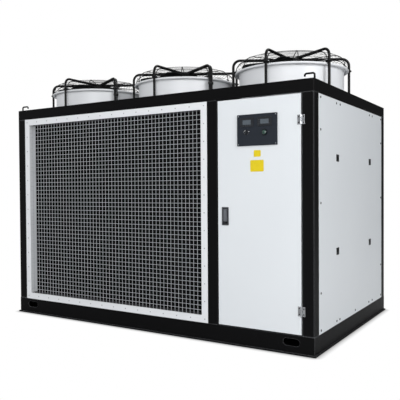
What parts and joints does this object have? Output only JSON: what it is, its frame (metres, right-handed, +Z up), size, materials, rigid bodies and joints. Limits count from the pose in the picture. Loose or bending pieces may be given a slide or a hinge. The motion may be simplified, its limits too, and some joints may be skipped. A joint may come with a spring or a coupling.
{
  "type": "air cooled water chiller",
  "caption": "Packaged outdoor water chiller: black steel frame, white panels, mesh-guarded condenser coil, hinged control cabinet door and a row of guarded roof fans.",
  "frame": {"origin": "on the floor at the middle of the frame, at the centre of the floor anchor holes", "axes": "+X along the length towards the door end, +Y from the grille side to the rear, +Z up"},
  "size_m": [2.65, 1.6465, 1.968],
  "materials": {
    "frame_black": "satin black powder coat",
    "panel_white": "smooth grey-white powder coat",
    "grille_white": "white powder coat",
    "mesh_grey": "light grey coated wire",
    "coil_dark": "dark coated fins",
    "zinc_sheet": "galvanised sheet",
    "hinge_metal": "polished zinc",
    "latch_black": "moulded black",
    "fascia_slate": "textured slate",
    "controller_black": "moulded black",
    "display_grey": "unlit display window",
    "handle_grey": "moulded dark grey",
    "lever_grey": "moulded mid grey",
    "button_green": "moulded green",
    "shroud_white": "white powder coat",
    "fan_black": "black enamel",
    "guard_black": "black coated wire"
  },
  "bodies": {
    "chassis": {"base_side_rails": "frame_black", "base_end_rails": "frame_black", "base_pan": "zinc_sheet", "corner_posts": "frame_black", "middle_posts": "frame_black", "roof_edge": "frame_black", "roof_decks": "frame_black", "lifting_hooks": "frame_black", "grille_border_uprights": "grille_white", "grille_border_rails": "grille_white", "mesh_uprights": "mesh_grey", "mesh_crosswires": "mesh_grey", "condenser_coil": "coil_dark", "plenum_partition": "zinc_sheet", "end_panels": "panel_white", "rear_panels": "panel_white", "panel_latches": "latch_black", "water_sockets": "hinge_metal", "control_cabinet": "zinc_sheet", "mounting_plate": "zinc_sheet", "hinge_post_leaves": "hinge_metal", "fan_shroud_left": "shroud_white", "fan_motor_left": "fan_black", "guard_dome_left": "guard_black", "guard_legs_left": "guard_black", "fan_shroud_middle": "shroud_white", "fan_motor_middle": "fan_black", "guard_dome_middle": "guard_black", "guard_legs_middle": "guard_black", "fan_shroud_right": "shroud_white", "fan_motor_right": "fan_black", "guard_dome_right": "guard_black", "guard_legs_right": "guard_black"},
    "door": {"door": "panel_white", "hinge_door_leaves": "hinge_metal", "control_panel": "fascia_slate", "controllers": "controller_black", "displays": "display_grey", "handle_housing": "handle_grey"},
    "handle": {"handle_lever": "lever_grey"},
    "knob": {"selector_knob": "latch_black"},
    "button": {"push_button": "button_green"},
    "rotor_left": {"fan_rotor_left": "fan_black"},
    "rotor_middle": {"fan_rotor_middle": "fan_black"},
    "rotor_right": {"fan_rotor_right": "fan_black"}
  },
  "joints": [
    {"name": "door_swing", "type": "hinge", "parent": "chassis", "child": "door", "pos_m": [1.232, -0.811, 0.87], "axis": [0, 0, 1], "range_deg": [0, 170]},
    {"name": "handle_lift", "type": "hinge", "parent": "door", "child": "handle", "pos_m": [0.696, -0.801, 0.893], "axis": [-1, 0, 0], "range_deg": [0, 40]},
    {"name": "selector_turn", "type": "hinge", "parent": "door", "child": "knob", "pos_m": [0.859, -0.813, 1.395], "axis": [0, -1, 0], "range_deg": [-45, 45]},
    {"name": "button_press", "type": "slide", "parent": "door", "child": "button", "axis": [0, 1, 0], "range_m": [0, 0.004], "stiffness_N_per_m": 400},
    {"name": "fan_spin_left", "type": "hinge", "parent": "chassis", "child": "rotor_left", "pos_m": [-0.92, -0.23, 1.875], "axis": [0, 0, 1], "continuous": true},
    {"name": "fan_spin_middle", "type": "hinge", "parent": "chassis", "child": "rotor_middle", "pos_m": [0, -0.23, 1.875], "axis": [0, 0, 1], "continuous": true},
    {"name": "fan_spin_right", "type": "hinge", "parent": "chassis", "child": "rotor_right", "pos_m": [0.92, -0.23, 1.875], "axis": [0, 0, 1], "continuous": true}
  ]
}
